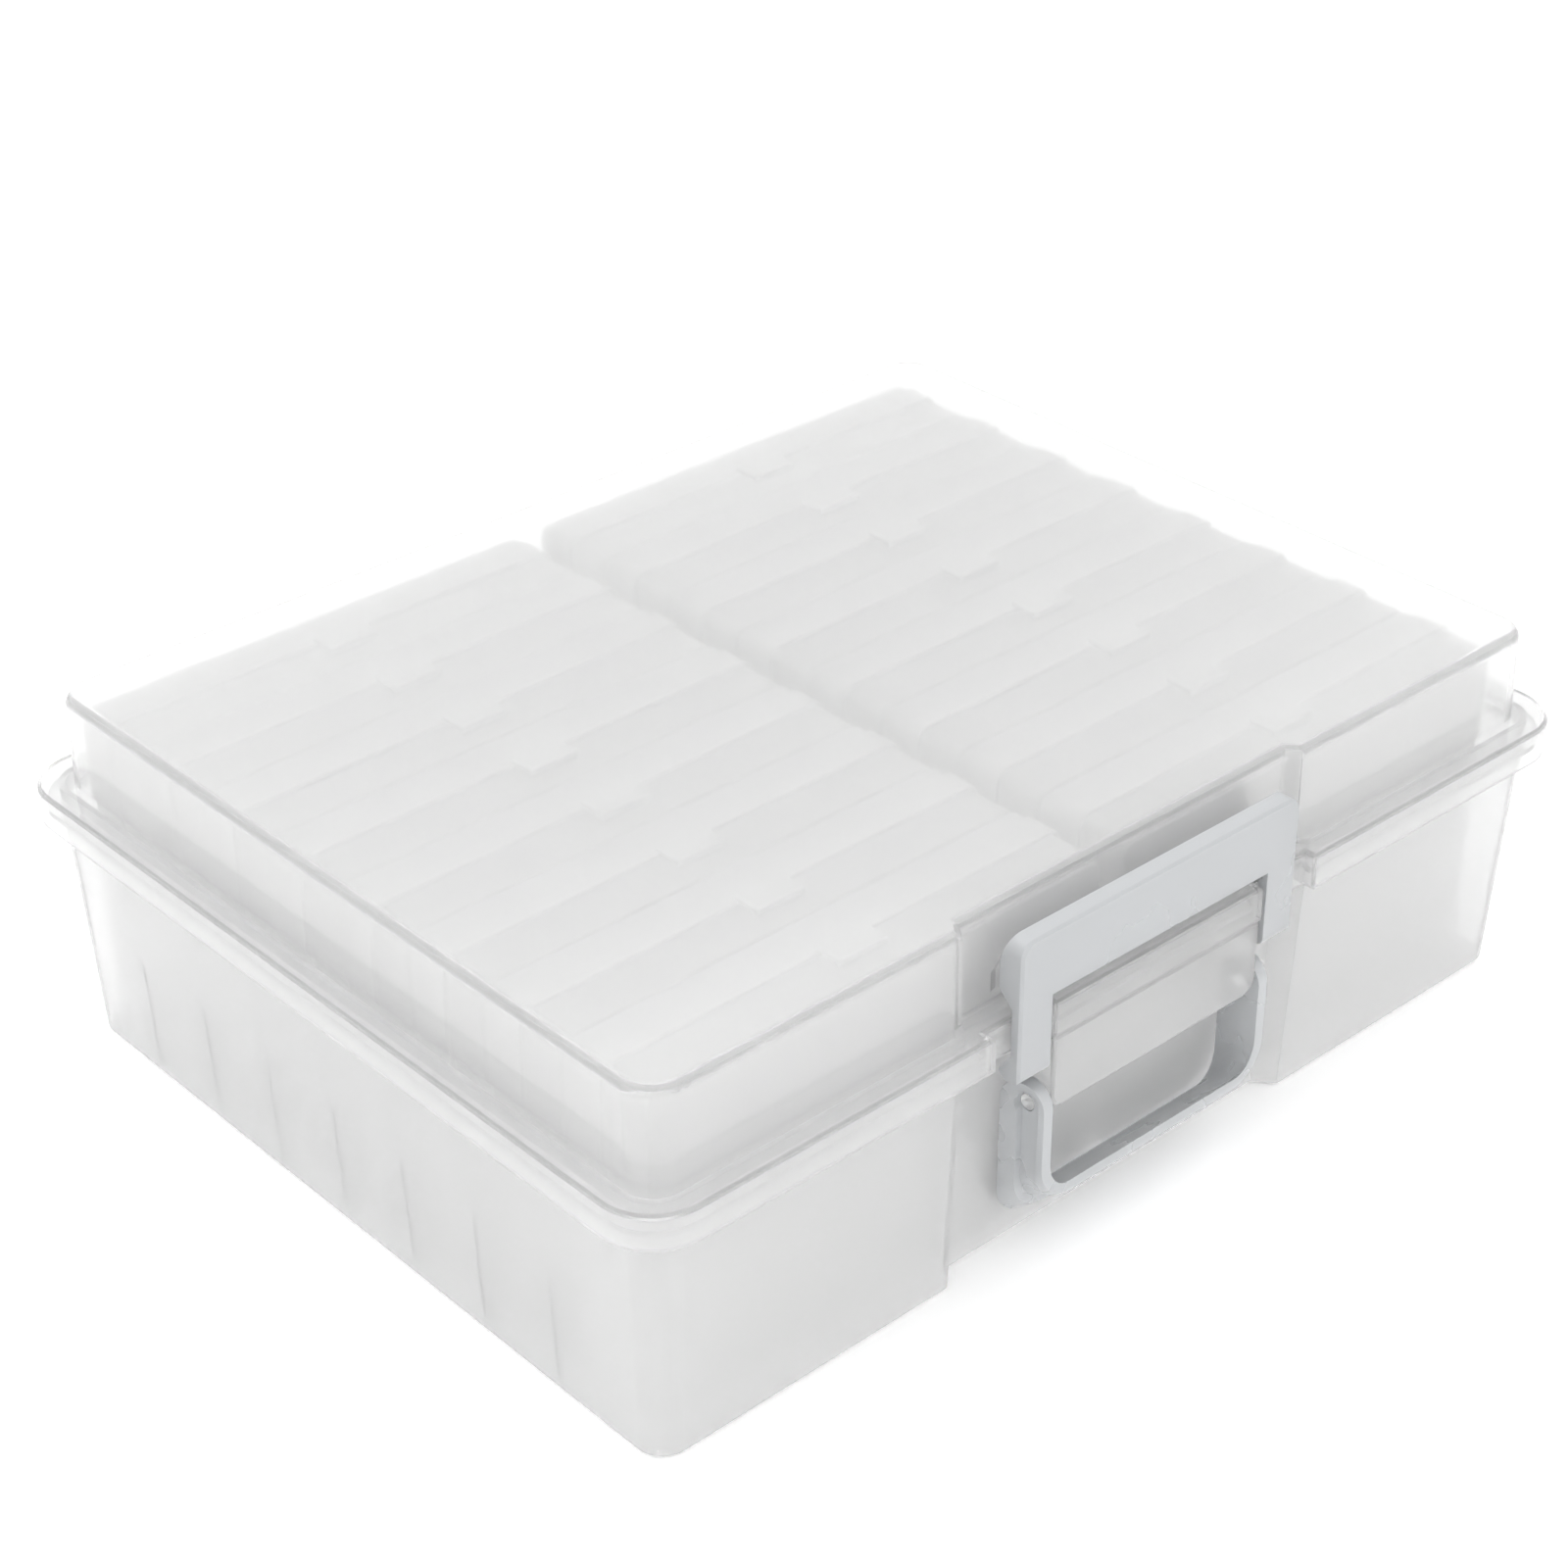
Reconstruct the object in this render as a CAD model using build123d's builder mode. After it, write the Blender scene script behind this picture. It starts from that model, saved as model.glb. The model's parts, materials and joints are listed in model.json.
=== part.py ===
"""Photo keeper case: a clear carrying case that holds sixteen small picture cases.

Millimetres. X runs along the front from left to right, Y from front to back, Z up.
The origin is on the ground under the middle of the rim.
"""
from build123d import *
from math import radians, sqrt, tan
import os

os.makedirs("parts", exist_ok=True)

# Outer case
rim_length = 375.0
rim_depth = 295.0
total_height = 121.3
rim_corner = 18.0
shell_wall = 1.8
top_wall = 2.0
floor_wall = 2.2

# Rim: the lid's skirt hides the tub's flange
skirt_bottom = 79.7
skirt_height = 11.4
skirt_wall = 1.6
skirt_edge = 1.2
ledge_wall = 1.8
skirt_clearance = 1.0
seat_gap = 0.2
flange_wall = 2.0
flange_lift = 3.3

# Tub
tub_step = 7.0
tub_draft = 2.8
tub_corner = 8.6
base_chamfer = 1.2

# Lid dome
dome_step = 10.0
dome_draft = 0.8
dome_corner = 11.0
dome_edge = 3.5

# Recess in the middle of the front
recess_length = 131.0
tub_recess = 6.4
lid_recess = 3.8
recess_slant = 0.8

# Centre block between the two notches of the skirt
block_length = 85.0
block_height = 24.4
block_wall = 2.0
block_corner = 5.0
block_slope = 10.0
block_edge = 1.0
block_gap = 0.3

# Latch
latch_length = 112.6
latch_top = 116.0
latch_plate = 2.0
latch_side = 1.8
latch_depth = 8.3
latch_top_depth = 5.8
latch_shoulder = 8.0
latch_corner = 5.0
latch_edge = 0.8
notch_gap = 0.5
notch_over = 2.7
notch_under = 1.7
shoulder_rise = 4.7
claw_depth = 7.7
claw_drop = 5.7
claw_foot = 2.4
window_play = 1.5
window_over = 3.8
window_flange = 3.0
latch_pivot_drop = 6.0
latch_pivot_back = 5.5
latch_pin = 3.2
latch_pin_length = 3.5
pin_play = 0.25
ear_wall = 4.0
ear_round = 3.0
ear_play = 0.5
ear_foot_low = 1.0
ear_foot_high = 7.0
catch_graze = 0.4
catch_length = 9.0
catch_drop = 3.5
catch_slope = 4.5

# Handle
handle_front = 1.0
handle_back_gap = 0.9
handle_play = 0.5
handle_web = 2.6
handle_lip = 0.9
handle_lip_width = 2.0
handle_flange = 3.2
handle_flange_width = 5.6
handle_rim_width = 2.0
grip_back = 16.4
grip_front = 27.2
handle_corner = 13.0
grip_corner = 8.0
handle_pivot_height = 56.0
handle_pin = 5.0
handle_pin_length = 3.0
handle_overrun = 1.0

# Rear hinge
hinge_height = 78.0
hinge_reach = 5.5
hinge_bar = 5.0
hinge_play = 0.3
hook_wall = 2.0
hook_length = 34.0
hook_foot = 8.0
hinge_spacing = 220.0
hinge_ear = 4.0
hinge_ear_wall = 1.7
hinge_ear_drop = 18.0
hinge_side_gap = 0.6

# Inner picture cases
row_count = 8
row_gap = 0.5
end_play = 1.8
column_gap = 7.0
side_gap = 4.5
case_lift = 0.3
headroom = 5.0
case_wall = 1.1
band_corner = 2.6
back_corner = 0.9
tray_corner = 2.0
cover_play = 0.3
cover_step = 1.0
case_chamfer = 2.4
tray_depth = 24.0
band_front = 15.5
band_width = 10.5
tab_length = 17.5
tab_front = 8.0
tab_back = 18.0
tab_proud = 1.2
lip_width = 1.2
bead_length = 12.0
bead_width = 1.2
bead_height = 0.7
lug_length = 12.0
lug_reach = 3.0
lug_spacing = 100.0

# Locating ribs on the tub's end walls, one at each seam between rows
rib_wall = 1.2
rib_height = 42.0
rib_slope = 6.0
rib_gap = 0.6

# Heights and places that follow from the sizes above
skirt_top = skirt_bottom + skirt_height
ledge_bottom = skirt_top - ledge_wall
tub_top = ledge_bottom - seat_gap
flange_bottom = skirt_bottom + flange_lift
rim_front = -rim_depth / 2
notch_face = rim_front + lid_recess
tub_half_length = rim_length / 2 - tub_step - skirt_bottom * tan(radians(tub_draft))
tub_half_depth = rim_depth / 2 - tub_step - skirt_bottom * tan(radians(tub_draft))
dome_half_depth = rim_depth / 2 - dome_step
lid_inside_top = total_height - top_wall
claw_face = rim_front + claw_depth
catch_face = claw_face + catch_graze
block_top = skirt_bottom - block_gap
block_bottom = block_top - block_height
case_seat = floor_wall + case_lift


def tub_spread(height):
    """How far a tub wall stands outside its place at the ground."""
    return height * tan(radians(tub_draft))


def tub_recess_face(height):
    """Y of the outer face of the recess in the tub's front wall."""
    return -tub_half_depth + tub_recess - tub_spread(height)


def notched_outline(half_length, half_depth, corner, gap_length, gap_face):
    """Rounded rectangle with a wide shallow recess in the middle of its front side."""
    gap_depth = half_depth + gap_face
    mouth = gap_length / 2 + recess_slant * gap_depth
    with BuildSketch() as outline:
        Rectangle(2 * half_length, 2 * half_depth)
        with BuildLine():
            Polyline(
                (-mouth, -half_depth),
                (-gap_length / 2, gap_face),
                (gap_length / 2, gap_face),
                (mouth, -half_depth),
                close=True,
            )
        make_face(mode=Mode.SUBTRACT)
        fillet(outline.vertices().filter_by_position(Axis.X, -half_length, -half_length), corner)
        fillet(outline.vertices().filter_by_position(Axis.X, half_length, half_length), corner)
    return outline.sketch


def tub_outline(height, inset):
    """Plan of the tub at a height, drawn in by an inset."""
    spread = tub_spread(height) - inset
    return notched_outline(
        tub_half_length + spread,
        tub_half_depth + spread,
        tub_corner + spread / 2,
        recess_length + 2 * inset,
        tub_recess_face(height) + inset,
    )


def dome_outline(height, inset):
    """Plan of the lid's dome at a height, drawn in by an inset."""
    shrink = (height - skirt_top) * tan(radians(dome_draft)) + inset
    return notched_outline(
        rim_length / 2 - dome_step - shrink,
        dome_half_depth - shrink,
        dome_corner - inset,
        recess_length + 2 * inset,
        -dome_half_depth + lid_recess + shrink,
    )


def skirt_outline(inset):
    """Plan of the rim skirt with its two notches, drawn in by an inset."""
    outer_half = recess_length / 2 + inset
    inner_half = block_length / 2 - inset
    notch_length = outer_half - inner_half
    notch_place = inner_half + notch_length / 2
    with BuildSketch() as outline:
        RectangleRounded(rim_length - 2 * inset, rim_depth - 2 * inset, rim_corner - inset)
        with Locations((-notch_place, rim_front + inset), (notch_place, rim_front + inset)):
            Rectangle(notch_length, 2 * lid_recess, mode=Mode.SUBTRACT)
    return outline.sketch


def row_places():
    """Y of the front face of each row of inner cases, and their thickness."""
    front = tub_recess_face(case_seat) + shell_wall + end_play
    back = tub_half_depth + tub_spread(case_seat) - shell_wall - end_play
    pitch = (back - front + row_gap) / row_count
    return [front + pitch * row for row in range(row_count)], pitch - row_gap


row_fronts, case_thickness = row_places()
case_end = tub_half_length + tub_spread(case_seat) - shell_wall - side_gap
case_length = case_end - column_gap / 2
case_height = lid_inside_top - headroom - tab_proud - case_seat
tray_inset = case_wall + cover_play

latch_pivot = (rim_front + latch_pivot_back, latch_top - latch_pivot_drop)
handle_front_y = rim_front - handle_front
handle_back_y = tub_recess_face(handle_pivot_height) - handle_back_gap
handle_depth = handle_back_y - handle_front_y
handle_pivot = ((handle_front_y + handle_back_y) / 2, handle_pivot_height)
hinge_axis = (rim_depth / 2 + hinge_reach, hinge_height)


# Hollow block on the front of the tub, open below, which carries the handle
block_back_low = tub_recess_face(block_bottom - block_slope) + shell_wall / 2
block_back_high = tub_recess_face(block_top) + shell_wall / 2
with BuildPart() as block:
    with BuildSketch(Plane.YZ):
        with BuildLine():
            Polyline(
                (rim_front, block_top),
                (rim_front, block_bottom),
                (block_back_low, block_bottom - block_slope),
                (block_back_high, block_top),
                close=True,
            )
        make_face()
    extrude(amount=block_length / 2, both=True)
    fillet(block.faces().sort_by(Axis.Z)[0].edges().filter_by(Axis.X, reverse=True), block_corner)
    chamfer(block.faces().sort_by(Axis.Y)[0].edges(), block_edge)
    with BuildSketch(Plane.YZ):
        with BuildLine():
            Polyline(
                (rim_front + block_wall, block_top - block_wall),
                (rim_front + block_wall, block_bottom - 2 * block_slope),
                (block_back_low, block_bottom - 2 * block_slope),
                (block_back_low, block_bottom - block_slope),
                (block_back_high, block_top - block_wall),
                close=True,
            )
        make_face()
    extrude(amount=block_length / 2 - block_wall, both=True, mode=Mode.SUBTRACT)

# Tub
with BuildPart() as tub:
    with BuildSketch(Plane.XY):
        add(tub_outline(0, base_chamfer))
    with BuildSketch(Plane.XY.offset(base_chamfer)):
        add(tub_outline(base_chamfer, 0))
    with BuildSketch(Plane.XY.offset(tub_top)):
        add(tub_outline(tub_top, 0))
    loft(ruled=True)
    # Flange around the top, cut back where the latch claws pass
    with BuildSketch(Plane.XY.offset(flange_bottom)):
        flange_inset = skirt_wall + skirt_clearance
        RectangleRounded(
            rim_length - 2 * flange_inset, rim_depth - 2 * flange_inset, rim_corner - flange_inset
        )
        gap_inner = block_length / 2 - flange_inset
        gap_outer = recess_length / 2 + flange_inset
        gap_place = (gap_inner + gap_outer) / 2
        with Locations((-gap_place, rim_front), (gap_place, rim_front)):
            Rectangle(gap_outer - gap_inner, 2 * (catch_face - rim_front), mode=Mode.SUBTRACT)
    extrude(amount=flange_wall)
    with BuildSketch(Plane.XY.offset(floor_wall)):
        add(tub_outline(floor_wall, shell_wall))
    with BuildSketch(Plane.XY.offset(tub_top)):
        add(tub_outline(tub_top, shell_wall))
    loft(ruled=True, mode=Mode.SUBTRACT)
    add(block.part)
    # Stub pins for the handle
    for side in (-1, 1):
        pin_plane = Plane.YZ.offset(side * (block_length / 2 - block_wall / 2))
        with BuildSketch(pin_plane):
            with Locations(handle_pivot):
                Circle(handle_pin / 2)
        extrude(amount=side * (block_wall / 2 + handle_pin_length))
    # Catch lugs under the flange, behind the claws
    catch_place = latch_length / 2 - latch_side - catch_length / 2
    for side in (-1, 1):
        with BuildSketch(Plane.YZ.offset(side * catch_place)):
            with BuildLine():
                lug_bottom = flange_bottom - catch_drop
                lug_back = tub_recess_face(lug_bottom) + shell_wall / 2
                Polyline(
                    (catch_face, flange_bottom + flange_wall / 2),
                    (catch_face, lug_bottom),
                    (lug_back, lug_bottom - catch_slope),
                    (lug_back, flange_bottom + flange_wall / 2),
                    close=True,
                )
            make_face()
        extrude(amount=catch_length / 2, both=True)
    # Hinge ears and the moulded bar between each pair
    ear_back = tub_half_depth + tub_spread(hinge_height - hinge_ear_drop) - shell_wall / 2
    for hinge_x in (-hinge_spacing / 2, hinge_spacing / 2):
        ear_place = hook_length / 2 + hinge_side_gap + hinge_ear / 2
        for ear_x in (hinge_x - ear_place, hinge_x + ear_place):
            with BuildSketch(Plane.YZ.offset(ear_x)):
                with BuildLine():
                    Polyline(
                        (ear_back, skirt_bottom - block_gap),
                        (hinge_axis[0] - hinge_bar / 2, skirt_bottom - block_gap),
                        (hinge_axis[0], hinge_axis[1] - hinge_bar / 2 - hinge_ear_wall),
                        (ear_back, hinge_height - hinge_ear_drop),
                        close=True,
                    )
                make_face()
                with Locations(hinge_axis):
                    Circle(hinge_bar / 2 + hinge_ear_wall)
            extrude(amount=hinge_ear / 2, both=True)
        with BuildSketch(Plane.YZ.offset(hinge_x)):
            with Locations(hinge_axis):
                Circle(hinge_bar / 2)
        extrude(amount=ear_place, both=True)
    # Locating ribs
    wall_low = tub_half_length + tub_spread(floor_wall) - shell_wall / 2
    wall_high = tub_half_length + tub_spread(rib_height) - shell_wall / 2
    for row_front in row_fronts[1:]:
        with BuildSketch(Plane.XZ.offset(row_gap / 2 - row_front)):
            for side in (-1, 1):
                with BuildLine():
                    Polyline(
                        (side * (case_end + rib_gap), floor_wall / 2),
                        (side * (case_end + rib_gap), rib_height - rib_slope),
                        (side * wall_high, rib_height),
                        (side * wall_low, floor_wall / 2),
                        close=True,
                    )
                make_face()
        extrude(amount=rib_wall / 2, both=True)

tub.part.label = "tub"
export_step(tub.part, "parts/tub.step")

# Lid
with BuildPart() as outer_lid:
    with BuildSketch(Plane.XY.offset(skirt_bottom)):
        add(skirt_outline(0))
    extrude(amount=skirt_height)
    chamfer(outer_lid.faces().sort_by(Axis.Z)[-1].edges(), skirt_edge)
    with BuildSketch(Plane.XY.offset(ledge_bottom)):
        add(dome_outline(ledge_bottom, 0))
    with BuildSketch(Plane.XY.offset(total_height)):
        add(dome_outline(total_height, 0))
    loft(ruled=True)
    fillet(outer_lid.faces().sort_by(Axis.Z)[-1].edges(), dome_edge)
    with BuildSketch(Plane.XY.offset(skirt_bottom)):
        add(skirt_outline(skirt_wall))
    extrude(amount=ledge_bottom - skirt_bottom, mode=Mode.SUBTRACT)
    with BuildSketch(Plane.XY.offset(skirt_bottom)):
        add(dome_outline(skirt_bottom, shell_wall))
    with BuildSketch(Plane.XY.offset(lid_inside_top)):
        add(dome_outline(lid_inside_top, shell_wall))
    loft(ruled=True, mode=Mode.SUBTRACT)
    # Ears that carry the latch
    ear_face = -dome_half_depth + lid_recess + shell_wall / 2
    ear_place = latch_length / 2 - latch_side - ear_play - ear_wall / 2
    for side in (-1, 1):
        with BuildSketch(Plane.YZ.offset(side * ear_place)):
            with Locations(latch_pivot):
                Circle(ear_round)
            with BuildLine():
                Line((ear_face, skirt_top + ear_foot_high), (ear_face, skirt_top + ear_foot_low))
            make_hull()
            with Locations(latch_pivot):
                Circle(latch_pin / 2 + pin_play, mode=Mode.SUBTRACT)
        extrude(amount=ear_wall / 2, both=True)
    # Hinge hooks, open below and behind
    skirt_back = rim_depth / 2 - skirt_wall / 2
    hook_round = hinge_bar / 2 + hinge_play + hook_wall
    for hinge_x in (-hinge_spacing / 2, hinge_spacing / 2):
        with BuildSketch(Plane.YZ.offset(hinge_x)):
            with Locations(hinge_axis):
                Circle(hook_round)
            with BuildLine():
                Polyline(
                    (skirt_back, skirt_bottom + hook_foot),
                    (hinge_axis[0], hinge_axis[1] + hook_round),
                    (hinge_axis[0] - hook_round, hinge_axis[1]),
                    (skirt_back, skirt_bottom + hinge_play),
                    close=True,
                )
            make_face()
            with Locations(hinge_axis):
                Circle(hinge_bar / 2 + hinge_play, mode=Mode.SUBTRACT)
            with BuildLine():
                Polyline(
                    hinge_axis,
                    (hinge_axis[0] + 2 * hook_round, hinge_axis[1]),
                    (hinge_axis[0] - hook_round / 2, hinge_axis[1] - 2 * hook_round),
                    close=True,
                )
            make_face(mode=Mode.SUBTRACT)
        extrude(amount=hook_length / 2, both=True)

outer_lid.part.label = "outer_lid"
export_step(outer_lid.part, "parts/outer_lid.step")

# Latch: a three-sided flap with deep side flanges and a claw bar at the foot of each leg
notch_y = notch_face - notch_gap
back_y = rim_front + latch_depth
window_top = skirt_top + window_over
claw_top = skirt_bottom - notch_under
claw_tip = claw_top - claw_drop
latch_bottom = claw_tip - claw_foot
window_half = block_length / 2 + window_play
with BuildPart() as latch:
    with BuildSketch(Plane.YZ):
        with BuildLine():
            Polyline(
                (rim_front, latch_top),
                (rim_front + latch_top_depth, latch_top),
                (back_y, latch_top - latch_shoulder),
                (back_y, skirt_top + notch_over + shoulder_rise),
                (notch_y, skirt_top + notch_over),
                (notch_y, claw_top),
                (claw_face, claw_tip),
            )
            ThreePointArc(
                (claw_face, claw_tip),
                ((claw_face + notch_y) / 2, latch_bottom),
                (rim_front, claw_tip - claw_foot / 2),
            )
            Line((rim_front, claw_tip - claw_foot / 2), (rim_front, latch_top))
        make_face()
    extrude(amount=latch_length / 2, both=True)
    top_corners = latch.edges().filter_by(Axis.Y).group_by(Axis.Z)[-1]
    fillet(top_corners, latch_corner)
    front_edges = latch.faces().sort_by(Axis.Y)[0].edges()
    chamfer(front_edges, latch_edge)
    # Hollow behind the plate
    inner_half = latch_length / 2 - latch_side
    inner_y = rim_front + latch_plate
    with BuildSketch(Plane.XY.offset(window_top + latch_side)):
        with Locations((0, inner_y + latch_depth / 2)):
            Rectangle(2 * inner_half, latch_depth)
    extrude(amount=latch_top - latch_plate - window_top - latch_side, mode=Mode.SUBTRACT)
    leg_inner = window_half + latch_side
    with BuildSketch(Plane.XY.offset(claw_top)):
        for side in (-1, 1):
            with Locations((side * (leg_inner + inner_half) / 2, inner_y + latch_depth / 2)):
                Rectangle(inner_half - leg_inner, latch_depth)
    extrude(amount=window_top + latch_side - claw_top, mode=Mode.SUBTRACT)
    # Window, and the depth of the flange along its top
    with BuildSketch(Plane.XZ.offset(-rim_front)):
        with Locations((0, window_top - latch_top / 2)):
            Rectangle(2 * window_half, latch_top)
    extrude(amount=latch_depth, both=True, mode=Mode.SUBTRACT)
    flange_back = inner_y + window_flange
    with BuildSketch(Plane.XY.offset(window_top - latch_side)):
        with Locations((0, flange_back + latch_depth / 2)):
            Rectangle(2 * inner_half, latch_depth)
    extrude(amount=3 * latch_side, mode=Mode.SUBTRACT)
    # Stub pins
    for side in (-1, 1):
        with BuildSketch(Plane.YZ.offset(side * (inner_half + latch_side / 2))):
            with Locations(latch_pivot):
                Circle(latch_pin / 2)
        extrude(amount=-side * (latch_pin_length + latch_side / 2))

latch.part.label = "latch"
export_step(latch.part, "parts/latch.step")


def grip_height(y):
    """Height of the upper face of the grip, which rises towards the front."""
    share = (handle_back_y - y) / handle_depth
    return grip_back + share * (grip_front - grip_back)


def bail_outline(half_length, bottom, corner):
    """Upright plate with rounded lower corners, as tall as the handle's arms."""
    top = handle_pivot_height + handle_depth
    with BuildSketch() as outline:
        with Locations((0, (top + bottom) / 2)):
            Rectangle(2 * half_length, top - bottom)
        fillet(outline.vertices().group_by(Axis.Y)[0], corner)
    return outline.sketch


def bail_block(half_length, drop, corner):
    """Block that cuts right through the handle, its floor a drop below the grip's upper face."""
    top = handle_pivot_height + handle_depth
    block_front = handle_front_y - handle_overrun
    block_back = handle_back_y + handle_overrun
    with BuildPart() as solid:
        with BuildSketch(Plane.YZ):
            with BuildLine():
                Polyline(
                    (block_front, grip_height(block_front) - drop),
                    (block_back, grip_height(block_back) - drop),
                    (block_back, top),
                    (block_front, top),
                    close=True,
                )
            make_face()
        extrude(amount=half_length, both=True)
        fillet(solid.faces().sort_by(Axis.Z)[0].edges().filter_by(Axis.X, reverse=True), corner)
    return solid.part


# Handle: a deep band bent to a U, with a flange behind and a lip in front on its outer side
arm_inner = block_length / 2 + handle_play
web_half = arm_inner + handle_web
pocket_back = handle_back_y - handle_flange_width
pocket_front = handle_front_y + handle_lip_width
grip_opening = bail_block(arm_inner, 0, grip_corner)
web_block = bail_block(web_half, handle_web, grip_corner + handle_web)
with BuildPart() as pocket:
    with BuildSketch(Plane.YZ):
        slot_round = (pocket_back - pocket_front) / 2
        slot_top = handle_pivot_height + handle_depth / 2 - handle_rim_width
        slot_centre = (pocket_back + pocket_front) / 2
        with Locations((slot_centre, (slot_top - slot_round) / 2 - handle_flange)):
            Rectangle(2 * slot_round, slot_top - slot_round + 2 * handle_flange)
        with Locations((slot_centre, slot_top - slot_round)):
            Circle(slot_round)
    extrude(amount=web_half + 3 * handle_flange, both=True)
    add(web_block, mode=Mode.SUBTRACT)

with BuildPart() as handle:
    with BuildSketch(Plane.XZ.offset(-handle_back_y)):
        back_bottom = grip_back - handle_web - handle_flange
        add(bail_outline(web_half + handle_flange, back_bottom, handle_corner))
    with BuildSketch(Plane.XZ.offset(-handle_front_y)):
        front_bottom = grip_front - handle_web - handle_lip
        add(bail_outline(web_half + handle_lip, front_bottom, handle_corner))
    loft(ruled=True)
    add(grip_opening, mode=Mode.SUBTRACT)
    with BuildSketch(Plane.YZ):
        with Locations((handle_pivot[0], handle_pivot_height / 2)):
            Rectangle(handle_depth, handle_pivot_height)
        with Locations(handle_pivot):
            Circle(handle_depth / 2)
    extrude(amount=web_half + 2 * handle_flange, both=True, mode=Mode.INTERSECT)
    add(pocket.part, mode=Mode.SUBTRACT)
    with BuildSketch(Plane.YZ):
        with Locations(handle_pivot):
            Circle(handle_pin / 2 + pin_play)
    extrude(amount=web_half + 2 * handle_flange, both=True, mode=Mode.SUBTRACT)

handle.part.label = "handle"
export_step(handle.part, "parts/handle.step")


def inner_cut(outer_cut):
    """Cut on a hollow's corner that keeps the wall even behind a cut outer corner."""
    return outer_cut - (2 - sqrt(2)) * case_wall


# Inner case, drawn standing at the middle of the front: its tray, open to the back
with BuildPart() as tray:
    with BuildSketch(Plane.XZ) as tray_front:
        with Locations((0, case_seat + case_height / 2)):
            Rectangle(case_length - 2 * tray_inset, case_height - 2 * tray_inset)
        chamfer(tray_front.vertices(), tray_corner)
    extrude(amount=-tray_depth)
    with BuildSketch(Plane.XZ.offset(-case_wall)) as tray_hollow:
        hollow_inset = tray_inset + case_wall
        with Locations((0, case_seat + case_height / 2)):
            Rectangle(case_length - 2 * hollow_inset, case_height - 2 * hollow_inset)
        chamfer(tray_hollow.vertices(), inner_cut(tray_corner))
    extrude(amount=-tray_depth, mode=Mode.SUBTRACT)
    # Bead that the cover's tab snaps over
    tray_top = case_seat + case_height - tray_inset
    bead_place = tab_front + lip_width + cover_play + bead_width / 2
    with Locations((0, bead_place, tray_top)):
        Box(bead_length, bead_width, 2 * bead_height)

# Its cover: a wide band over the tray's mouth, a stepped back, a tab above and two lugs below
with BuildPart() as cover:
    with BuildSketch(Plane.XZ.offset(-band_front)) as band:
        with Locations((0, case_seat + case_height / 2)):
            Rectangle(case_length, case_height)
        chamfer(band.vertices(), band_corner)
    extrude(amount=-band_width)
    with BuildSketch(Plane.XZ.offset(-band_front - band_width)) as cover_back:
        with Locations((0, case_seat + case_height / 2)):
            Rectangle(case_length - 2 * cover_step, case_height - 2 * cover_step)
        chamfer(cover_back.vertices(), back_corner)
    extrude(amount=-(case_thickness - band_front - band_width))
    # The upright back corners are cut off to clear the lid's rounded corners
    with BuildSketch(Plane.XY.offset(case_seat)):
        corner_place = case_length / 2 - cover_step
        with Locations((-corner_place, case_thickness), (corner_place, case_thickness)):
            Rectangle(sqrt(2) * case_chamfer, sqrt(2) * case_chamfer, rotation=45)
    extrude(amount=case_height, mode=Mode.SUBTRACT)
    with BuildSketch(Plane.XZ.offset(-band_front)) as band_hollow:
        with Locations((0, case_seat + case_height / 2)):
            Rectangle(case_length - 2 * case_wall, case_height - 2 * case_wall)
        chamfer(band_hollow.vertices(), inner_cut(band_corner))
    extrude(amount=-(band_width - case_wall), mode=Mode.SUBTRACT)
    step_inset = cover_step + case_wall
    with BuildSketch(Plane.XY.offset(case_seat + step_inset)) as hollow_plan:
        hollow_depth = case_thickness - case_wall - band_front
        with Locations((0, band_front + hollow_depth / 2)):
            Rectangle(case_length - 2 * step_inset, hollow_depth)
        chamfer(hollow_plan.vertices().group_by(Axis.Y)[-1], inner_cut(case_chamfer))
    extrude(amount=case_height - 2 * step_inset, mode=Mode.SUBTRACT)
    cover_top = case_seat + case_height
    with Locations((0, (tab_front + tab_back) / 2, cover_top + tab_proud / 2 - case_wall / 4)):
        Box(tab_length, tab_back - tab_front, tab_proud + case_wall / 2)
    lip_bottom = cover_top - tray_inset + cover_play
    with Locations((0, tab_front + lip_width / 2, (lip_bottom + cover_top) / 2)):
        Box(tab_length, lip_width, cover_top - lip_bottom)
    with Locations((-lug_spacing / 2, band_front, case_seat), (lug_spacing / 2, band_front, case_seat)):
        Box(lug_length, 2 * lug_reach, case_wall, align=(Align.CENTER, Align.CENTER, Align.MIN))

# Two columns of eight inner cases
column_places = {"A": -(column_gap + case_length) / 2, "B": (column_gap + case_length) / 2}
for column, place in column_places.items():
    for row, row_front in enumerate(row_fronts, start=1):
        for name, piece in (("tray", tray), ("cover", cover)):
            copy = piece.part.moved(Location((place, row_front, 0)))
            copy.label = f"{name}_{column}{row}"
            export_step(copy, f"parts/{name}_{column}{row}.step")

print("case", [round(size, 2) for size in (case_length, case_thickness, case_height)])
print("latch pivot", latch_pivot, "handle pivot", handle_pivot, "hinge axis", hinge_axis)
print("row fronts", [round(y, 2) for y in row_fronts], "case end", round(case_end, 2), "seat", case_seat)
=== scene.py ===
import json
import math
import bmesh
import bpy
import numpy as np
from mathutils import Matrix, Vector


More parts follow.
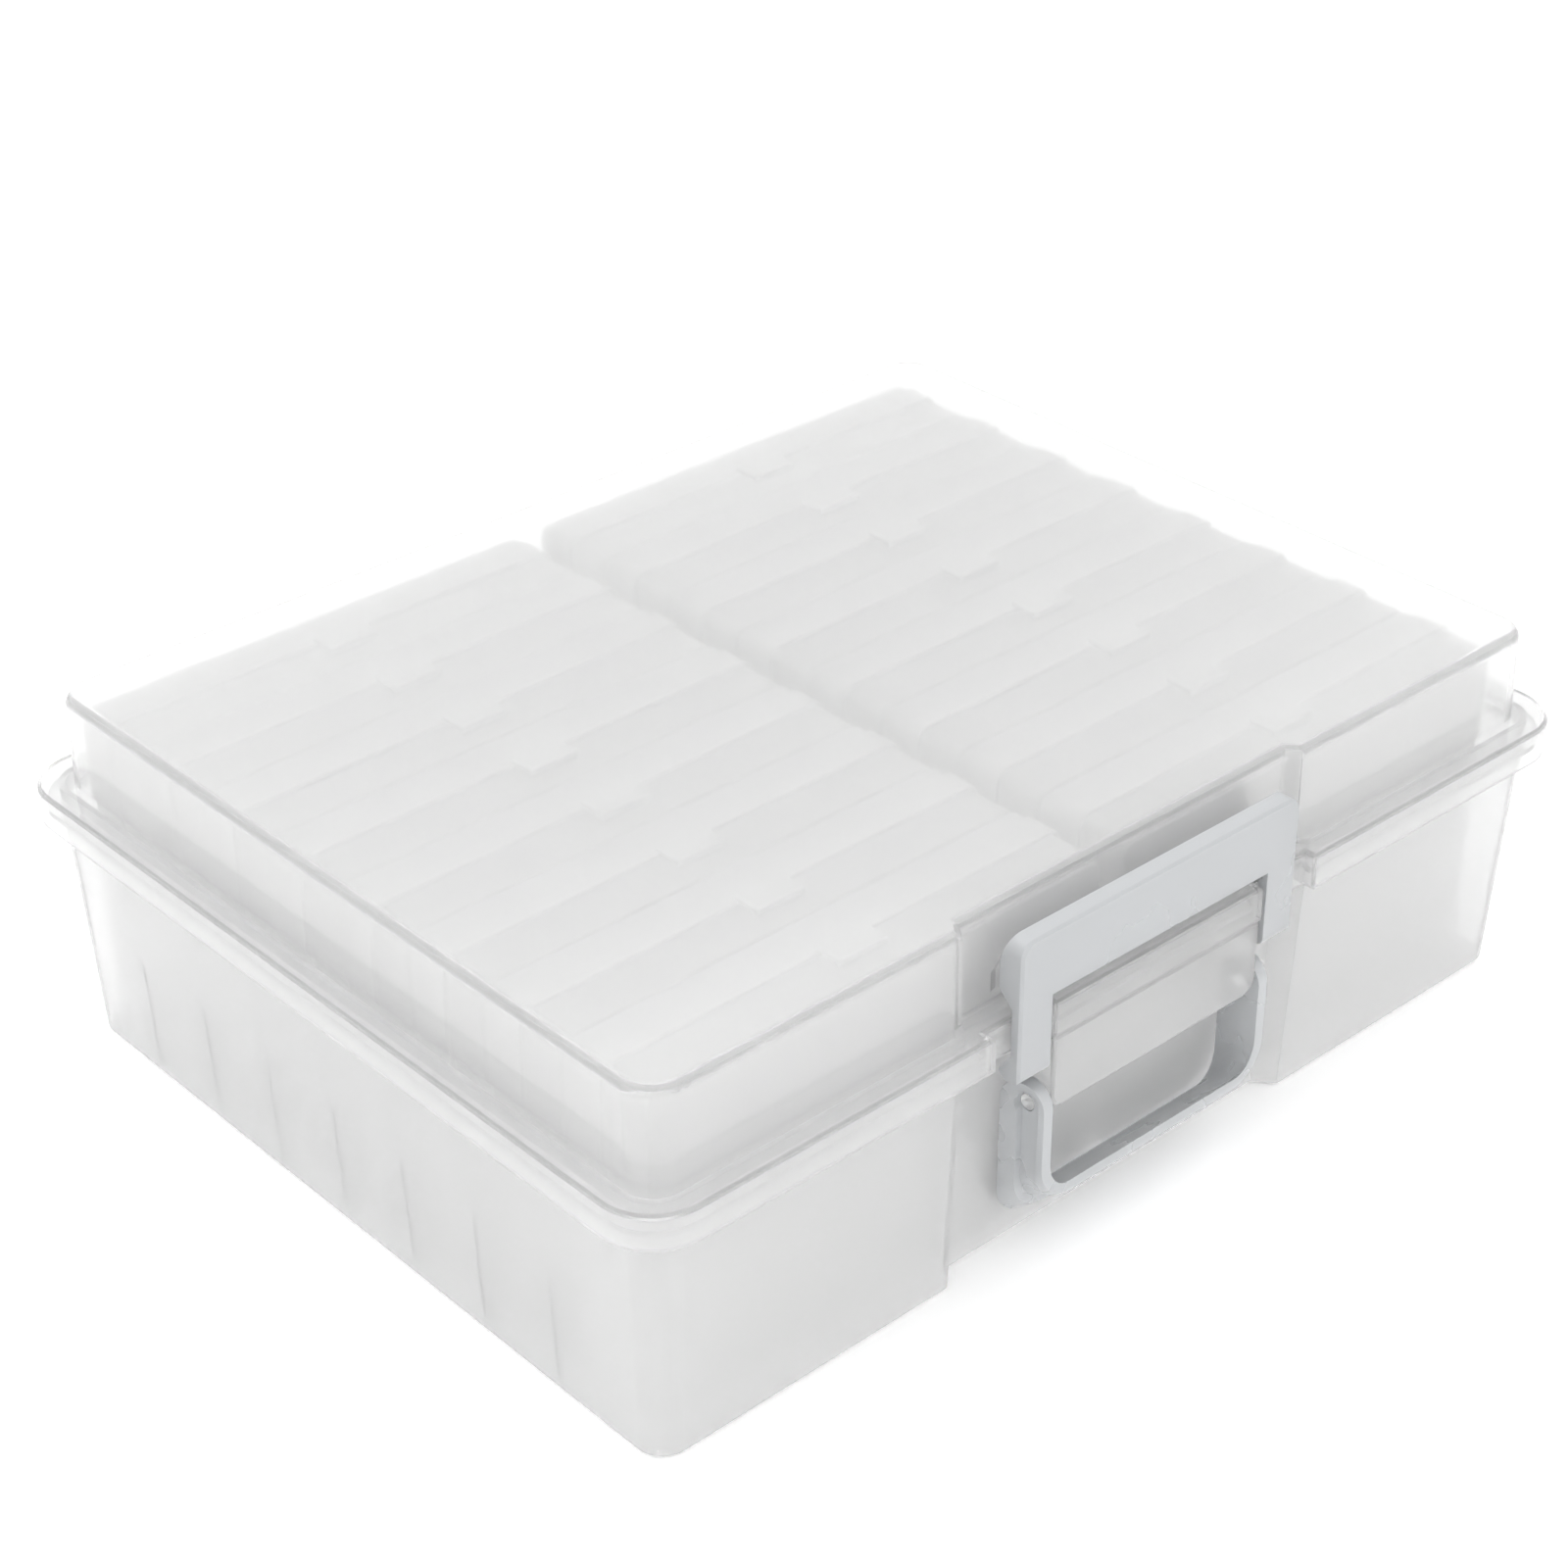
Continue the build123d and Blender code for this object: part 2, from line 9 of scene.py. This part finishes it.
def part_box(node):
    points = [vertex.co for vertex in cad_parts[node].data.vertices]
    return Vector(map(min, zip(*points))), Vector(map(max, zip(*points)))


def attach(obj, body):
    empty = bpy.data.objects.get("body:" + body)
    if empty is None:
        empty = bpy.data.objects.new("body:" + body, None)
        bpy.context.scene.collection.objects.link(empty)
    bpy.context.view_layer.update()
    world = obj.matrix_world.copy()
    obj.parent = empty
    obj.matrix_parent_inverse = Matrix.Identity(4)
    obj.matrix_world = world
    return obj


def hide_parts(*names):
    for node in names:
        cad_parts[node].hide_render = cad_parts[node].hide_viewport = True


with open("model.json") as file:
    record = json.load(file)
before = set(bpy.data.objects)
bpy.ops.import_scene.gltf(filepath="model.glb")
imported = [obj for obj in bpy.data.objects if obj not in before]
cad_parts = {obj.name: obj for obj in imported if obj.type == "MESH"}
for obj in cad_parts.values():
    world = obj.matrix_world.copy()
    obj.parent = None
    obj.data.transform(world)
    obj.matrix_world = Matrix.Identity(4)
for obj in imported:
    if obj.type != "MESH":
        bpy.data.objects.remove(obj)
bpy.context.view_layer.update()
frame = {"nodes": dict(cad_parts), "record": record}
mm = 0.001
scene = bpy.context.scene
print("frame loaded,", len(frame["nodes"]), "nodes")


def srgb(code):
    # hex colour as a designer writes it, turned to linear light
    parts = [int(code[i:i + 2], 16) / 255 for i in (1, 3, 5)]
    return [c / 12.92 if c <= 0.04045 else ((c + 0.055) / 1.055) ** 2.4 for c in parts] + [1.0]


def addNode(tree, kind, settings=None, inputs=None):
    # one node with its settings, and a link or a plain value for each input, by name or by number
    node = tree.nodes.new(kind)
    for key, value in (settings or {}).items():
        setattr(node, key, value)
    for key, value in (inputs or {}).items():
        if isinstance(value, bpy.types.NodeSocket):
            tree.links.new(value, node.inputs[key])
        else:
            node.inputs[key].default_value = value
    return node


# polypropylene, as it comes out of the mould: soft flow marks under a fine spark-eroded grain
mould = {
    "ior": 1.49, "grainScale": 1600.0, "grainDepth": 0.05 * mm, "waveDepth": 0.5 * mm,
    "flowLow": 0.3, "flowHigh": 0.7, "glossier": 0.8, "duller": 1.25,
}


def mouldedPlastic(name, look):
    # clear is the share of light that passes, the rest is scattered back by the cloudy body
    mat = bpy.data.materials.new(name)
    mat.use_nodes = True
    tree = mat.node_tree
    tree.nodes.clear()
    colour = srgb(look["colour"])
    coords = addNode(tree, "ShaderNodeTexCoord").outputs["Object"]
    # swirls where the melt cooled unevenly: flowScale of them to the metre, so 33 to 50 mm each
    flow = addNode(tree, "ShaderNodeTexNoise", None, {
        "Vector": coords, "Scale": look["flowScale"], "Detail": 3.0, "Roughness": 0.5,
    }).outputs[0]
    # a real spark-eroded grain is about 0.1 mm: drawn at about 0.6 mm, so that it shows
    grain = addNode(tree, "ShaderNodeTexNoise", None, {
        "Vector": coords, "Scale": mould["grainScale"], "Detail": 2.0, "Roughness": 0.6,
    }).outputs[0]
    rough = addNode(tree, "ShaderNodeMapRange", None, {
        "Value": flow, "From Min": mould["flowLow"], "From Max": mould["flowHigh"],
        "To Min": look["roughness"] * mould["glossier"],
        "To Max": look["roughness"] * mould["duller"],
    }).outputs[0]
    fine = addNode(tree, "ShaderNodeBump", None, {
        "Strength": look["grain"], "Distance": mould["grainDepth"], "Height": grain,
    }).outputs[0]
    soft = addNode(tree, "ShaderNodeBump", None, {
        "Strength": look["waves"], "Distance": mould["waveDepth"], "Height": flow, "Normal": fine,
    }).outputs[0]
    surface = addNode(tree, "ShaderNodeBsdfPrincipled", None, {
        "Base Color": colour, "Roughness": rough, "IOR": mould["ior"],
        "Transmission Weight": look["clear"], "Normal": soft,
    }).outputs[0]
    if look.get("glow"):
        # the cloudy wall also scatters light through to its other side
        behind = addNode(tree, "ShaderNodeBsdfTranslucent", None, {
            "Color": colour, "Normal": soft,
        }).outputs[0]
        surface = addNode(tree, "ShaderNodeMixShader", None, {
            0: look["glow"], 1: surface, 2: behind,
        }).outputs[0]
    if look.get("open"):
        # and a thin clear wall lets some straight through
        through = addNode(tree, "ShaderNodeBsdfTransparent").outputs[0]
        surface = addNode(tree, "ShaderNodeMixShader", None, {
            0: look["open"], 1: surface, 2: through,
        }).outputs[0]
    addNode(tree, "ShaderNodeOutputMaterial", None, {"Surface": surface})
    return mat


tubLook = {
    "colour": "#FFFFFF", "clear": 0.88, "glow": 0.17, "roughness": 0.16,
    "grain": 0.05, "waves": 0.2, "flowScale": 25.0,
}
lidLook = {
    "colour": "#FFFFFF", "clear": 0.9, "glow": 0.11, "roughness": 0.13,
    "grain": 0.05, "waves": 0.2, "flowScale": 20.0,
}
latchLook = {
    "colour": "#CFD1D3", "clear": 0.35, "roughness": 0.3,
    "grain": 0.3, "waves": 0.1, "flowScale": 30.0,
}
handleLook = {
    "colour": "#D6D8DA", "clear": 0.35, "roughness": 0.28,
    "grain": 0.3, "waves": 0.1, "flowScale": 30.0,
}
caseLook = {
    "colour": "#FFFFFF", "clear": 0.0, "glow": 0.45, "open": 0.4, "roughness": 0.1,
    "grain": 0.1, "waves": 0.25, "flowScale": 30.0,
}
tubPlastic = mouldedPlastic("cloudy polypropylene, moulded tub", tubLook)
lidPlastic = mouldedPlastic("cloudy polypropylene, moulded lid", lidLook)
latchPlastic = mouldedPlastic("satin polypropylene, moulded latch", latchLook)
handlePlastic = mouldedPlastic("satin polypropylene, moulded handle", handleLook)
casePlastic = mouldedPlastic("clear polypropylene, moulded inner case", caseLook)
print("materials made")

bodies = frame["record"]["behaviour"]["bodies"]
bodyOf = {node: body for body, nodes in bodies.items() for node in nodes}


def finishPiece(obj, plastic, node):
    obj.data.materials.clear()
    obj.data.materials.append(plastic)
    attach(obj, bodyOf[node])
    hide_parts(node)


# outer case: each node's solid with its mould radii worked in
outerCase = {
    "tubRadius": 0.5 * mm, "lidRadius": 0.75 * mm,
    "latchRadius": 0.4 * mm, "handleRadius": 0.4 * mm,
    "steps": 2, "sharpAngle": 30, "flatAngle": 0.5, "mergeWithin": 0.002 * mm, "faceWeight": 100,
}


def mouldedCopy(node, name, radius):
    # the node's own surface, its loose triangles joined to whole faces, its sharp edges rounded
    mesh = bpy.data.objects[node].data.copy()
    mesh.name = name
    flat = math.radians(outerCase["flatAngle"])
    work = bmesh.new()
    work.from_mesh(mesh)
    bmesh.ops.remove_doubles(work, verts=work.verts, dist=outerCase["mergeWithin"])
    bmesh.ops.dissolve_limit(work, angle_limit=flat, verts=work.verts, edges=work.edges)
    work.to_mesh(mesh)
    work.free()
    for attribute in [a.name for a in mesh.attributes if a.name == "custom_normal"]:
        mesh.attributes.remove(mesh.attributes[attribute])
    mesh.polygons.foreach_set("use_smooth", np.ones(len(mesh.polygons), dtype=bool))
    obj = bpy.data.objects.new(name, mesh)
    scene.collection.objects.link(obj)
    bevel = obj.modifiers.new("mould radius", "BEVEL")
    bevel.width = radius
    bevel.segments = outerCase["steps"]
    bevel.limit_method = "ANGLE"
    bevel.angle_limit = math.radians(outerCase["sharpAngle"])
    bevel.harden_normals = False
    bevel.miter_outer = "MITER_ARC"
    level = obj.modifiers.new("flat faces stay flat", "WEIGHTED_NORMAL")
    level.weight = outerCase["faceWeight"]
    level.keep_sharp = False
    return obj


for node, name, radius, plastic, slot in (
    ("tub", "tubShell", outerCase["tubRadius"], tubPlastic, "tub_plastic"),
    ("outer_lid", "lidShell", outerCase["lidRadius"], lidPlastic, "lid_plastic"),
    ("latch", "latchFlap", outerCase["latchRadius"], latchPlastic, "latch_plastic"),
    ("handle", "handleBail", outerCase["handleRadius"], handlePlastic, "handle_plastic"),
):
    finishPiece(mouldedCopy(node, name, radius), plastic, node)
print("outer case rounded")

# inner cases: a tray and a cover, each a closed shell carried round a rounded rectangle
innerCase = {
    "wall": 1.1 * mm, "play": 0.3 * mm, "corner": 5.0 * mm, "tightest": 0.05 * mm,
    "edge": 1.0 * mm, "insideEdge": 0.6 * mm, "lip": 0.35 * mm, "lipBend": 0.3, "mouthBend": 0.5,
    "bandFront": 15.5 * mm, "bandWidth": 10.5 * mm, "step": 1.0 * mm, "trayDepth": 24.0 * mm,
    "foldOutside": 0.2 * mm, "foldInside": 0.3 * mm,
    "tabLength": 17.5 * mm, "tabFront": 8.0 * mm, "tabBack": 18.0 * mm, "tabProud": 1.2 * mm,
    "tabRoot": 0.4 * mm, "tabRadius": 0.5 * mm,
    "catchWidth": 1.2 * mm, "catchRoot": 0.3 * mm, "catchRadius": 0.25 * mm,
    "cornerSteps": 6, "mergeWithin": 0.001 * mm, "faceWeight": 100,
}


def shellMesh(half, centre, profile):
    # a point at profile step (y, inset) and turn t lies at depth y on the rounded rectangle of that
    # inset: corner centre + (corner radius - inset) * (cos t, sin t), the same outline drawn in
    steps = innerCase["cornerSteps"] + 1
    profile = np.array(profile)
    turns = np.radians((np.arange(4)[:, None] * 90 + np.linspace(0, 90, steps)[None, :]).ravel())
    signs = np.array([(1, 1), (-1, 1), (-1, -1), (1, -1)], dtype=float).repeat(steps, axis=0)
    radius = np.maximum(innerCase["corner"] - profile[:, 1], innerCase["tightest"])[:, None]
    reach = (np.array(half)[None, :] - profile[:, 1][:, None])[:, None, :] - radius[:, :, None]
    x = centre[0] + signs[None, :, 0] * reach[:, :, 0] + radius * np.cos(turns)
    z = centre[2] + signs[None, :, 1] * reach[:, :, 1] + radius * np.sin(turns)
    y = centre[1] + np.broadcast_to(profile[:, 0][:, None], x.shape)
    points = np.stack([x, y, z], axis=2).reshape(-1, 3)
    rings, around = x.shape
    i, j = np.meshgrid(np.arange(rings - 1), np.arange(around), indexing="ij")
    here, there = i * around, (i + 1) * around
    after = (j + 1) % around
    quads = np.stack([here + j, there + j, there + after, here + after], axis=2).reshape(-1, 4)
    last = (rings - 1) * around
    caps = [list(range(around)), list(range(last, last + around))[::-1]]
    return points, quads.tolist() + caps


def bend(y, inset, radius, start, stop, steps=3):
    # quarter round of a profile: at turn t it is at y + radius * sin t and inset + radius * cos t
    turns = np.radians(np.linspace(start, stop, steps + 1))
    return [(y + radius * math.sin(t), inset + radius * math.cos(t)) for t in turns]


def roundedBlock(low, high, radius, steps=3):
    # a box whose edges are rounded: each point is the inner box's corner plus radius times a
    # direction on the sphere, with the grid of directions split between the eight corners
    count = steps + 1
    turn = np.radians(np.concatenate([np.linspace(a, a + 90, count) for a in (0, 90, 180, 270)]))
    rise = np.radians(np.concatenate([np.linspace(a, a + 90, count) for a in (-90, 0)]))
    signX = np.sign(np.cos(turn.reshape(4, -1).mean(axis=1))).repeat(count)
    signY = np.sign(np.sin(turn.reshape(4, -1).mean(axis=1))).repeat(count)
    signZ = np.array([-1, 1]).repeat(count)
    low, high = np.array(low), np.array(high)
    mid, half = (low + high) / 2, (high - low) / 2 - radius
    level = radius * np.cos(rise)[:, None]
    x = mid[0] + signX[None, :] * half[0] + level * np.cos(turn)[None, :]
    y = mid[1] + signY[None, :] * half[1] + level * np.sin(turn)[None, :]
    z = np.broadcast_to((mid[2] + signZ * half[2] + radius * np.sin(rise))[:, None], x.shape)
    points = np.stack([x, y, z], axis=2).reshape(-1, 3)
    rings, around = x.shape
    i, j = np.meshgrid(np.arange(rings - 1), np.arange(around), indexing="ij")
    here, there = i * around, (i + 1) * around
    after = (j + 1) % around
    quads = np.stack([here + j, here + after, there + after, there + j], axis=2).reshape(-1, 4)
    last = (rings - 1) * around
    return points, quads.tolist() + [list(range(around))[::-1], list(range(last, last + around))]


def joined(name, parts):
    # several closed surfaces in one mesh, doubled points merged where a ring closes on itself
    points, faces, start = [], [], 0
    for partPoints, partFaces in parts:
        points.append(partPoints)
        faces += [[corner + start for corner in face] for face in partFaces]
        start += len(partPoints)
    mesh = bpy.data.meshes.new(name)
    mesh.from_pydata(np.concatenate(points).tolist(), [], faces)
    work = bmesh.new()
    work.from_mesh(mesh)
    bmesh.ops.remove_doubles(work, verts=work.verts, dist=innerCase["mergeWithin"])
    bmesh.ops.recalc_face_normals(work, faces=work.faces)
    work.to_mesh(mesh)
    work.free()
    mesh.polygons.foreach_set("use_smooth", np.ones(len(mesh.polygons), dtype=bool))
    obj = bpy.data.objects.new(name, mesh)
    scene.collection.objects.link(obj)
    level = obj.modifiers.new("flat faces stay flat", "WEIGHTED_NORMAL")
    level.weight = innerCase["faceWeight"]
    return obj


def trayPiece(label, middle, front, half, seat):
    # profile from the middle of the front face, round its edge, back to the mouth and in again
    c = innerCase
    wall, edge, lip, inside = c["wall"], c["edge"], c["lip"], c["insideEdge"]
    out = wall + c["play"]
    mouth = c["trayDepth"] - lip
    profile = (
        [(0.0, out + edge)] + bend(edge, out + edge, -edge, 90, 0)[1:]
        + bend(mouth, out + lip, -lip, 0, -90)
        + bend(mouth, out + wall - lip, lip, 90, 0)
        + bend(wall + inside, out + wall + inside, -inside, 0, 90)
    )
    return joined(label, [shellMesh(half, (middle, front, seat + half[1]), profile)])


def coverPiece(label, middle, front, half, seat, thickness):
    # profile from the middle of the back face, over the step and the wide band, then in again
    c = innerCase
    wall, edge, lip, inside = c["wall"], c["edge"], c["lip"], c["insideEdge"]
    step, bandFront = c["step"], c["bandFront"]
    bandBack = bandFront + c["bandWidth"]
    inner, innerBack = step + wall, thickness - wall
    near, mouth = lip * c["lipBend"], lip * c["mouthBend"]
    profile = (
        [(thickness, step + edge)] + bend(thickness - edge, step + edge, -edge, -90, 0)[1:]
        + [(bandBack + c["foldOutside"], step), (bandBack, step - c["foldOutside"])]
        + [(bandBack, lip), (bandBack - near, near), (bandBack - lip, 0.0)]
        + [(bandFront + lip, 0.0), (bandFront + near, near), (bandFront, lip)]
        + [(bandFront, wall - mouth), (bandFront + mouth, wall)]
        + [(bandBack - wall, wall), (bandBack - wall + c["foldInside"], inner)]
        + [(innerBack - inside, inner), (innerBack - inside / 3, inner + inside / 3)]
        + [(innerBack, inner + inside)]
    )
    shell = shellMesh(half, (middle, front, seat + half[1]), profile)
    top = seat + 2 * half[1]
    left, right = middle - c["tabLength"] / 2, middle + c["tabLength"] / 2
    tabStart = front + c["tabFront"]
    tab = roundedBlock(
        (left, tabStart, top - c["tabRoot"]),
        (right, front + c["tabBack"], top + c["tabProud"]), c["tabRadius"],
    )
    catch = roundedBlock(
        (left, tabStart, top - wall),
        (right, tabStart + c["catchWidth"], top + c["catchRoot"]), c["catchRadius"],
    )
    return joined(label, [shell, tab, catch])


for column in "AB":
    for row in range(1, 9):
        coverLow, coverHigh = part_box(f"cover_{column}{row}")
        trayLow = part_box(f"tray_{column}{row}")[0]
        middle = (coverLow[0] + coverHigh[0]) / 2
        front, seat = trayLow[1], coverLow[2]
        height = coverHigh[2] - coverLow[2] - innerCase["tabProud"]
        half = ((coverHigh[0] - coverLow[0]) / 2, height / 2)
        tray = trayPiece(f"tray{column}{row}", middle, front, half, seat)
        finishPiece(tray, casePlastic, f"tray_{column}{row}")
        cover = coverPiece(f"cover{column}{row}", middle, front, half, seat, coverHigh[1] - front)
        finishPiece(cover, casePlastic, f"cover_{column}{row}")
print("inner cases built")

# white paper on a light table, under a white tent that is brightest overhead
studio = {
    "floorSize": 8.0, "paper": "#FFFFFF", "paperRoughness": 0.9, "floorGlow": 0.1,
    "tentTop": 1.4, "tentSide": 0.76, "tentFront": 0.88, "topFrom": 0.8,
    "frontWay": (-0.35, -0.9, -0.2), "frontStarts": 0.3, "frontFull": 0.95,
    "aim": (0, 0, 0.06), "bounces": 48, "scatterBounces": 32, "clearBounces": 64,
    "boxes": (
        {"name": "overhead softbox", "place": (-0.5, 0.6, 1.6), "size": (1.4, 1.0), "watts": 4.0},
        {"name": "side softbox", "place": (-1.6, -0.4, 0.9), "size": (0.9, 0.9), "watts": 1.5},
    ),
}
floorMesh = bpy.data.meshes.new("floor")
reach = studio["floorSize"]
corners = [(-reach, -reach, 0), (reach, -reach, 0), (reach, reach, 0), (-reach, reach, 0)]
floorMesh.from_pydata(corners, [], [(0, 1, 2, 3)])
floor = bpy.data.objects.new("floor", floorMesh)
scene.collection.objects.link(floor)
paperMat = bpy.data.materials.new("white studio paper on a light table")
paperMat.use_nodes = True
paperShader = paperMat.node_tree.nodes["Principled BSDF"]
paperShader.inputs["Base Color"].default_value = srgb(studio["paper"])
paperShader.inputs["Roughness"].default_value = studio["paperRoughness"]
paperShader.inputs["Emission Color"].default_value = srgb(studio["paper"])
paperShader.inputs["Emission Strength"].default_value = studio["floorGlow"]
floorMesh.materials.append(paperMat)

world = bpy.data.worlds.new("white studio tent")
scene.world = world
world.use_nodes = True
tree = world.node_tree
tree.nodes.clear()
toSky = addNode(tree, "ShaderNodeTexCoord").outputs["Generated"]
apart = addNode(tree, "ShaderNodeSeparateXYZ", None, {"Vector": toSky}).outputs
smooth = {"interpolation_type": "SMOOTHSTEP"}
rise = addNode(tree, "ShaderNodeMapRange", smooth, {
    "Value": apart[2], "From Min": 0.0, "From Max": studio["topFrom"],
    "To Min": studio["tentSide"], "To Max": studio["tentTop"],
}).outputs[0]
# how far a direction looks out from the case's front, where the tent is a little brighter
turn = addNode(tree, "ShaderNodeVectorMath", {"operation": "DOT_PRODUCT"}, {
    0: toSky, 1: studio["frontWay"],
})
brighter = addNode(tree, "ShaderNodeMapRange", smooth, {
    "Value": turn.outputs["Value"],
    "From Min": studio["frontStarts"], "From Max": studio["frontFull"],
    "To Min": 1.0, "To Max": studio["tentFront"] / studio["tentSide"],
}).outputs[0]
glow = addNode(tree, "ShaderNodeMath", {"operation": "MULTIPLY"}, {0: rise, 1: brighter}).outputs[0]
tent = addNode(tree, "ShaderNodeBackground", None, {
    "Color": (1, 1, 1, 1), "Strength": glow,
}).outputs[0]
addNode(tree, "ShaderNodeOutputWorld", None, {"Surface": tent})

for box in studio["boxes"]:
    light = bpy.data.lights.new(box["name"], "AREA")
    light.shape = "RECTANGLE"
    light.size, light.size_y = box["size"]
    light.energy = box["watts"]
    lamp = bpy.data.objects.new(box["name"], light)
    scene.collection.objects.link(lamp)
    lamp.location = box["place"]
    towards = Vector(studio["aim"]) - Vector(box["place"])
    lamp.rotation_euler = towards.to_track_quat("-Z", "Y").to_euler()

# clear plastic in many layers needs long light paths
scene.view_settings.view_transform = "Standard"
scene.cycles.max_bounces = studio["bounces"]
scene.cycles.transmission_bounces = studio["bounces"]
scene.cycles.diffuse_bounces = studio["scatterBounces"]
scene.cycles.glossy_bounces = studio["scatterBounces"]
scene.cycles.transparent_max_bounces = studio["clearBounces"]
scene.cycles.use_denoising = True

# camera, in degrees and millimetres, with the focal length in pixels of the photo's frame
view = {
    "yaw": 42.02, "pitch": 31.57, "roll": -0.33, "aim": (0, 0, 60), "distance": 1021.33,
    "shiftX": -6.06, "shiftY": 13.89, "focal": 3357.42, "frame": 1600, "sensor": 36.0,
}
yaw, pitch, roll = (math.radians(view[k]) for k in ("yaw", "pitch", "roll"))
ahead = Vector((math.sin(yaw) * math.cos(pitch), math.cos(yaw) * math.cos(pitch), -math.sin(pitch)))
level = Vector((math.cos(yaw), -math.sin(yaw), 0))
upright = level.cross(ahead)
right = math.cos(roll) * level + math.sin(roll) * upright
up = math.cos(roll) * upright - math.sin(roll) * level
shift = right * view["shiftX"] + up * view["shiftY"]
eye = (Vector(view["aim"]) - ahead * view["distance"] + shift) * mm
cameraData = bpy.data.cameras.new("camera")
cameraData.sensor_width = view["sensor"]
cameraData.lens = view["sensor"] * view["focal"] / view["frame"]
camera = bpy.data.objects.new("camera", cameraData)
scene.collection.objects.link(camera)
camera.matrix_world = Matrix.Translation(eye) @ Matrix((right, up, -ahead)).transposed().to_4x4()
scene.camera = camera
print("studio and camera set")
